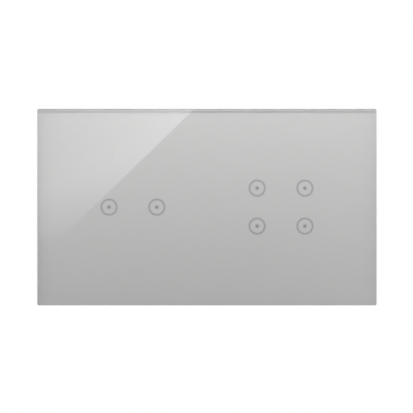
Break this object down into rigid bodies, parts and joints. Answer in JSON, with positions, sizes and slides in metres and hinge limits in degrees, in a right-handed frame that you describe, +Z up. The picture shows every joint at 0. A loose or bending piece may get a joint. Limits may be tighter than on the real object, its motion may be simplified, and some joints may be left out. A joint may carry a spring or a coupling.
{
  "type": "touch switch panel",
  "caption": "Flush-mounted touch light switch: a wide grey back-printed glass panel with ring marks, on a carrier that pulls off switch units set side by side in wall boxes.",
  "frame": {"origin": "in the wall plane, at the middle of the four box screws", "axes": "+X along the panel to the right as seen from the room, +Y into the wall, +Z up"},
  "size_m": [0.1624, 0.038, 0.094],
  "materials": {
    "clear_glass": "polished, ground arris",
    "grey_print": "opaque print on the back of the glass",
    "mark_print": "translucent print on the back of the glass",
    "white_tape": "foam tape",
    "carrier_plastic": "fine grained moulding",
    "zinc_steel": "zinc plated",
    "spring_steel": "bright spring steel",
    "housing_plastic": "fine grained moulding",
    "mask_plastic": "matt moulding",
    "board_front": "solder resist",
    "light_body": "moulded lens",
    "clear_plastic": "clear moulding",
    "black_plastic": "moulded",
    "brass": "turned and stamped",
    "board_rear": "solder resist",
    "ferrite": "sintered",
    "coil_tape": "wound tape",
    "capacitor_sleeve": "shrunk sleeve",
    "filter_case": "moulded case",
    "terminal_plastic": "moulded"
  },
  "bodies": {
    "wall_unit": {"left_mounting_plate": "zinc_steel", "left_spring_clips": "spring_steel", "left_clip_rivets": "zinc_steel", "left_front_body": "housing_plastic", "left_mask": "mask_plastic", "left_touch_board": "board_front", "left_touch_springs": "spring_steel", "left_status_lights": "light_body", "left_light_pipes": "clear_plastic", "left_touch_chip": "black_plastic", "left_pin_strip": "black_plastic", "left_board_pins": "brass", "left_power_board": "board_rear", "left_relays": "black_plastic", "left_transformer_core": "ferrite", "left_transformer_coil": "coil_tape", "left_smoothing_capacitor": "capacitor_sleeve", "left_filter_capacitor": "filter_case", "left_terminal_block": "terminal_plastic", "left_terminal_clamps": "brass", "left_terminal_screws": "zinc_steel", "left_rear_housing": "housing_plastic", "left_housing_screws": "zinc_steel", "right_mounting_plate": "zinc_steel", "right_spring_clips": "spring_steel", "right_clip_rivets": "zinc_steel", "right_front_body": "housing_plastic", "right_mask": "mask_plastic", "right_touch_board": "board_front", "right_touch_springs": "spring_steel", "right_status_lights": "light_body", "right_light_pipes": "clear_plastic", "right_touch_chip": "black_plastic", "right_pin_strip": "black_plastic", "right_board_pins": "brass", "right_power_board": "board_rear", "right_relays": "black_plastic", "right_transformer_core": "ferrite", "right_transformer_coil": "coil_tape", "right_smoothing_capacitor": "capacitor_sleeve", "right_filter_capacitor": "filter_case", "right_terminal_block": "terminal_plastic", "right_terminal_clamps": "brass", "right_terminal_screws": "zinc_steel", "right_rear_housing": "housing_plastic", "right_housing_screws": "zinc_steel"},
    "front_panel": {"glass_panel": "clear_glass", "back_print": "grey_print", "touch_marks": "mark_print", "bonding_tape": "white_tape", "carrier_frame": "carrier_plastic"}
  },
  "joints": [
    {"name": "front_panel_pull", "type": "slide", "parent": "wall_unit", "child": "front_panel", "axis": [0, -1, 0], "range_m": [0, 0.03]}
  ]
}
